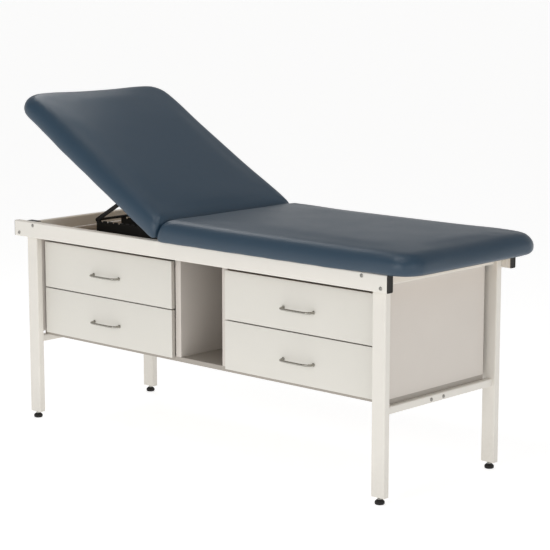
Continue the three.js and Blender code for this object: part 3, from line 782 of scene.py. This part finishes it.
class EXAM_TABLE_OT_end_plugs(bpy.types.Operator):
    """Black plugs that close the ends of the side rails and the tops of the legs"""

    bl_idname = "exam_table.end_plugs"
    bl_label = "End plugs"

    def execute(self, context):
        plastic = moulded_plastic("moulded_polyethylene", context.scene.exam_table_frame.plug, 0.42, 0.0015)
        edge = [
            (2.6, -14), (2.4, -13), (2.4, 0.3), (0, 0.3), (0, 1.2), (0.5, 1.9),
            (1.4, PLUG_RISE), (3.4, PLUG_RISE), (4.2, 1.7), (6, 1.7),
        ]
        for end, x in ENDS:
            for side, _ in SIDES:
                node = f"{side}_{end}_rail_plug"
                low, high, middle = place_of(node)
                shell = slab((high[1] - low[1]) / 2, (high[2] - low[2]) / 2, TUBE_CORNER, edge)
                outer = high[0] if x > 0 else low[0]
                cap = placed(shell, [0, x, 0], [0, 0, 1], [x, 0, 0], [outer - x * PLUG_RISE, *middle[1:]])
                piece(f"{node}_cap", [cap], plastic, "frame", [node], sharp=40)
                node = f"{end}_{side}_leg_plug"
                low, high, middle = place_of(node)
                shell = slab((high[0] - low[0]) / 2, (high[1] - low[1]) / 2, TUBE_CORNER, edge)
                cap = placed(shell, *AXES, [*middle[:2], high[2] - PLUG_RISE])
                piece(f"{node}_cap", [cap], plastic, "frame", [node], sharp=40)
        return {"FINISHED"}


def hexagon(angle, _):
    """Flute that turns a circle into the hexagon round it: 1 / cos of the angle from the nearest flat's
    middle."""
    return 1 / np.cos((angle + math.pi / 6) % (math.pi / 3) - math.pi / 6)


class EXAM_TABLE_OT_levelling_feet(bpy.types.Operator):
    """Four levelling feet: a ribbed rubber pad, a hexagon nut and a threaded stem"""

    bl_idname = "exam_table.levelling_feet"
    bl_label = "Levelling feet"

    def execute(self, context):
        rubber = moulded_plastic("moulded_rubber", "#1d1b1a", 0.62, 0.0018)
        zinc = plated_metal("zinc_plated_stem", "#a9a8a4", 0.34)
        pad = turned([
            (2, 0), (12.6, 0), (13.8, 0.5), (15.2, 2.2), (15.5, 3.6), (15.5, 8.4),
            (14.9, 10.2), (12.8, 12.4), (11.2, 13.4), (10.6, 14.4), (9.6, 15), (4.4, 15),
        ], 72, lambda a, z: 1 + 0.014 * np.cos(24 * a) * smooth(z, 2, 4) * smooth(z, 11, 9))
        nut = turned([
            (5.6, 15.0), (6.3, 15.3), (6.5, 15.7), (6.5, 18.6), (6.2, 19.0), (4.2, 19.2)
        ], 48, hexagon)
        z = np.arange(14.0, 45.0, 0.2)
        stem = turned(
            np.column_stack([np.full(len(z), 3.8), z]), 18,
            lambda a, z: 1 + 0.055 * np.cos(2 * math.pi * z / THREAD_PITCH - a),
        )
        for end, _ in ENDS:
            for side, _ in SIDES:
                node, body = f"{end}_{side}_levelling_foot", f"{end}_{side}_foot"
                place = *AXES, [*place_of(node)[2][:2], 0]
                piece(f"{node}_pad", [placed(pad, *place)], rubber, body, [node], sharp=40)
                metal = [placed(shell, *place) for shell in (stem, nut)]
                piece(f"{node}_stem", metal, zinc, body, sharp=40)
        return {"FINISHED"}


RAIL_SCREWS = ((24, 13), (98, 44))  # from a side rail's end, and above its underside
CROSS_BOLTS = (-47, 14)  # places across the table
HINGE_SCREWS = range(-240, 241, 80)  # places along the hinge


def pan_head(radius):
    """A pan-head screw. The dome is 0.42 R (1 - (r/R)^2.6)^0.5, and a cross of arms 0.16 R wide and 0.55 R
    long is sunk by up to 0.3 R, softly at its edges."""
    count = 64
    share = np.array([1, 1, 0.97, 0.92, 0.84, 0.74, 0.64, 0.56, 0.48, 0.4, 0.32, 0.24, 0.18, 0.12, 0.06])
    angle = np.arange(count) * 2 * math.pi / count
    x, y = share[:, None] * np.cos(angle), share[:, None] * np.sin(angle)
    dome = 0.42 * np.sqrt(np.clip(1 - share**2.6, 0, 1))[:, None] + 0.06
    arms = [smooth(np.abs(p), 0.2, 0.12) * smooth(np.abs(q), 0.6, 0.5) for p, q in ((x, y), (y, x))]
    z = dome - 0.3 * np.maximum(*arms)
    z[0] = -0.08
    return loft(np.stack([x, y, z], -1) * radius)


class EXAM_TABLE_OT_fasteners(bpy.types.Operator):
    """Screws in the side rails, bolts in the lower cross rails and hinge screws"""

    bl_idname = "exam_table.fasteners"
    bl_label = "Fasteners"

    def execute(self, context):
        zinc = plated_metal("zinc_plated_screw", "#a3a19c", 0.3)
        black = black_enamelled_steel()
        screw = pan_head(context.scene.exam_table_frame.screw_radius / MM)
        for side, y in SIDES:
            low, high, middle = place_of(f"{side}_side_rail")
            face = high[1] if y > 0 else low[1]
            heads = []
            for x in (low[0], high[0]):
                inward = 1 if x < middle[0] else -1
                for offset, rise in RAIL_SCREWS:
                    spot = [x + inward * offset, face, low[2] + rise]
                    heads.append(placed(screw, [-y, 0, 0], [0, 0, 1], [0, y, 0], spot))
            piece(f"{side}_rail_screws", heads, zinc, "frame")
        for end, x in ENDS:
            low, high, middle = place_of(f"{end}_lower_cross_rail")
            face = high[0] if x > 0 else low[0]
            bolts = [
                placed(screw, [0, x, 0], [0, 0, 1], [x, 0, 0], [face, y, middle[2] - 1]) for y in CROSS_BOLTS
            ]
            piece(f"{end}_cross_rail_bolts", bolts, zinc, "frame")
        hinge_screw = pan_head(3.0)
        for name, shape in CUSHIONS.items():
            along, normal, body = shape["along"], shape["normal"], shape["body"]
            first = HINGE / MM + 27 * along + 6.0 * normal
            across = np.cross(-normal, along)
            heads = [placed(hinge_screw, along, across, -normal, first + [0, y, 0]) for y in HINGE_SCREWS]
            piece(f"{name}_hinge_screws", heads, black, body)
        return {"FINISHED"}


class EXAM_TABLE_OT_weld_beads(bpy.types.Operator):
    """Painted weld beads where the cross rails meet the legs"""

    bl_idname = "exam_table.weld_beads"
    bl_label = "Weld beads"

    def execute(self, context):
        powder = bpy.data.materials.get("powder_coated_steel") or powder_coated_steel(
            context.scene.exam_table_frame.powder
        )
        for end, _ in ENDS:
            shells = []
            for level in ("upper", "lower"):
                low, high, middle = place_of(f"{end}_{level}_cross_rail")
                half = (high - low) / 2
                for y in (-1, 1):
                    line, at = walk(round_rectangle(half[0], half[2], TUBE_CORNER, 6), 120)
                    out = line / np.linalg.norm(line, axis=1, keepdims=True)
                    # a bead of radius 1.6, rippled by a cosine every 3.2 along the tube's outline
                    size = 1.6 + 0.25 * np.cos(2 * math.pi * at / 3.2)
                    turn = np.linspace(0, 2 * math.pi, 9)
                    rings = [
                        np.column_stack([
                            line[:, 0] + out[:, 0] * size * math.cos(a), size * math.sin(a),
                            line[:, 1] + out[:, 1] * size * math.cos(a),
                        ]) for a in turn
                    ]
                    points, faces = loft(rings, caps=False)
                    edge = middle[1] + y * (half[1] - 0.9)
                    shells.append((points + [middle[0], edge, middle[2]], faces))
            piece(f"{end}_weld_beads", shells, powder, "frame", sharp=80)
        return {"FINISHED"}


# ------------ finishes of the carried-over parts


def dress(names, material):
    """Gives CAD nodes one finish."""
    for name in names:
        mesh = frame["nodes"][name].data
        mesh.materials.clear()
        mesh.materials.append(material)


class EXAM_TABLE_OT_frame_finish(bpy.types.Operator):
    """Powder coat on the tubes of the frame"""

    bl_idname = "exam_table.frame_finish"
    bl_label = "Frame finish"

    def execute(self, context):
        names = [f"{side}_side_rail" for side, _ in SIDES]
        for end, _ in ENDS:
            names += [f"{end}_{level}_cross_rail" for level in LEVELS]
            names += [f"{end}_{side}_leg" for side, _ in SIDES]
        dress(names, powder_coated_steel(context.scene.exam_table_frame.powder))
        return {"FINISHED"}


class EXAM_TABLE_OT_cabinet_finish(bpy.types.Operator):
    """Melamine on the cabinet, wrapped board on the drawer boxes and zinc on their runners"""

    bl_idname = "exam_table.cabinet_finish"
    bl_label = "Cabinet finish"

    def execute(self, context):
        panel = melamine_panel(context.scene.exam_table_cabinet.panel)
        # painted shade: the top is a brown board, darkened further to stand in for the shade under the
        # cushions
        dress(["cabinet_top"], melamine_panel(linear("#7d7266"), "particleboard_painted_shade", dark=0.8))
        # painted shade: the back is coloured the dark brown of the shaded compartments
        dress(["cabinet_back"], melamine_panel(linear("#50473e"), "cabinet_back_painted_shade", dark=0.8))
        # painted shade: the floor is a darker grey that stands in for the shade inside the compartments
        dress(["cabinet_floor"], melamine_panel(linear("#a8a198"), "cabinet_floor_painted_shade"))
        dress([f"{end}_{part}" for end, _ in ENDS for part in ("end_panel", "partition")], panel)
        wrapped = melamine_panel(linear("#cfc6b8"), "foil_wrapped_board")
        dress([f"{drawer}_box" for drawer in DRAWERS], wrapped)
        runners = [f"{drawer}_{side}_runner" for drawer in DRAWERS for side in ("left", "right")]
        dress(runners, plated_metal("zinc_plated_runner", "#b2b2b0", 0.33, (1, 0.08, 1)))
        return {"FINISHED"}


class EXAM_TABLE_OT_mechanism_finish(bpy.types.Operator):
    """Black enamel on the hinge, racks, bracket and prop, and birch ply under the cushions"""

    bl_idname = "exam_table.mechanism_finish"
    bl_label = "Mechanism finish"

    def execute(self, context):
        names = ["hinge_pin", "seat_hinge_leaf", "backrest_hinge_leaf", "prop_bracket", "backrest_prop"]
        names += [f"{side}_ratchet_rack" for side, _ in SIDES]
        dress(names, bpy.data.materials.get("black_enamelled_steel") or black_enamelled_steel())
        dress(["seat_board", "backrest_board"], birch_plywood())
        return {"FINISHED"}


# ------------ stage


def area_light(name, power, size, place, target):
    """A square soft light at a place, turned towards a target."""
    data = bpy.data.lights.new(name, "AREA")
    data.energy, data.size = power, size
    light = scene_object(name, data)
    light.location = place
    light.rotation_euler = (Vector(target) - Vector(place)).to_track_quat("-Z", "Y").to_euler()


class EXAM_TABLE_OT_stage(bpy.types.Operator):
    """Pale floor, soft studio light and the camera"""

    bl_idname = "exam_table.stage"
    bl_label = "Stage"

    def execute(self, context):
        settings = context.scene.exam_table_stage
        floor = mesh_object("studio_floor", [slab(60000, 60000, 20000, [(0, -40), (0, -1)], 12)])
        # back-lit matt acrylic floor: even white light from below, under a hardly visible frosting
        material, tree, shader, place = finish(
            "lit_matt_acrylic", Roughness=0.9, Specular_IOR_Level=0.1, Emission_Color=(1, 1, 1, 1),
            Emission_Strength=settings.glow,
        )
        roller = add(tree, "ShaderNodeTexNoise", {"Vector": place, "Scale": 3.0})
        tone = add(tree, "ShaderNodeMix", {
            FACTOR: roller.outputs[0], FIRST: shade(settings.floor, 0.99), SECOND: tuple(settings.floor)
        }, data_type="RGBA")
        tree.links.new(tone.outputs[MIXED], shader.inputs["Base Color"])
        floor.data.materials.append(material)
        world = bpy.data.worlds.new("white_surround")
        world.use_nodes = True
        # a white horizon that fades into the softer light of the studio above it
        tree = world.node_tree
        background = tree.nodes["Background"]
        background.inputs["Color"].default_value = (1.0, 0.995, 0.985, 1)
        direction = add(tree, "ShaderNodeTexCoord").outputs["Generated"]
        up = add(tree, "ShaderNodeSeparateXYZ", {0: direction}).outputs["Z"]
        fade = add(tree, "ShaderNodeMapRange", {
            "Value": up, "From Min": 0.03, "From Max": 0.35, "To Min": 0.95, "To Max": settings.sky
        })
        tree.links.new(fade.outputs[0], background.inputs["Strength"])
        context.scene.world = world
        area_light("key", settings.key, 2.4, (0.8, -6.2, 2.5), (0.1, 0, 0.6))
        area_light("overhead", settings.overhead, 0.6, (0.5, -0.9, 3.1), (0.5, 0, 0.7))
        area_light("head", settings.head, 0.8, (-1.9, 0.8, 2.6), (-0.8, 0, 1.1))
        area_light("fill", settings.fill, 3.0, (4.8, -1.6, 2.2), (0, 0, 0.5))
        context.scene.view_settings.view_transform = "Standard"
        camera_data = bpy.data.cameras.new("camera")
        camera_data.lens, camera_data.sensor_width = settings.lens, 36
        camera_data.clip_end = 200
        camera = scene_object("camera", camera_data)
        camera.location = (4.2889, -4.5493, 1.6621)
        azimuth, pitch = math.radians(42.909), math.radians(9.77)
        look = Vector((
            -math.sin(azimuth) * math.cos(pitch), math.cos(azimuth) * math.cos(pitch), -math.sin(pitch)
        ))
        camera.rotation_euler = look.to_track_quat("-Z", "Y").to_euler()
        context.scene.camera = camera
        return {"FINISHED"}


# ------------ panel and registration

OPERATORS = (
    EXAM_TABLE_OT_frame_finish,
    EXAM_TABLE_OT_cabinet_finish,
    EXAM_TABLE_OT_mechanism_finish,
    EXAM_TABLE_OT_cushions,
    EXAM_TABLE_OT_drawer_fronts,
    EXAM_TABLE_OT_drawer_pulls,
    EXAM_TABLE_OT_end_plugs,
    EXAM_TABLE_OT_levelling_feet,
    EXAM_TABLE_OT_fasteners,
    EXAM_TABLE_OT_weld_beads,
    EXAM_TABLE_OT_stage,
)
SETTINGS = {
    "exam_table_upholstery": UpholsterySettings,
    "exam_table_frame": FrameSettings,
    "exam_table_cabinet": CabinetSettings,
    "exam_table_stage": StageSettings,
}


class EXAM_TABLE_PT_panel(bpy.types.Panel):
    """Settings of the table and the operators that make it"""

    bl_label = "Exam Table"
    bl_idname = "EXAM_TABLE_PT_panel"
    bl_space_type = "VIEW_3D"
    bl_region_type = "UI"
    bl_category = "Exam Table"

    def draw(self, context):
        for name, group in SETTINGS.items():
            box = self.layout.box()
            box.label(text=group.__name__.replace("Settings", ""))
            for key in group.__annotations__:
                box.prop(getattr(context.scene, name), key)
        for operator in OPERATORS:
            self.layout.operator(operator.bl_idname)


def register():
    for cls in (*SETTINGS.values(), *OPERATORS, EXAM_TABLE_PT_panel):
        bpy.utils.register_class(cls)
    for name, group in SETTINGS.items():
        setattr(bpy.types.Scene, name, PointerProperty(type=group))


def unregister():
    for name in SETTINGS:
        delattr(bpy.types.Scene, name)
    for cls in (EXAM_TABLE_PT_panel, *reversed(OPERATORS), *reversed(SETTINGS.values())):
        bpy.utils.unregister_class(cls)


def main():
    """Registers the classes and makes every piece."""
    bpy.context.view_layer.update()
    register()
    for operator in OPERATORS:
        group, name = operator.bl_idname.split(".")
        getattr(getattr(bpy.ops, group), name)()


if __name__ == "__main__":
    main()
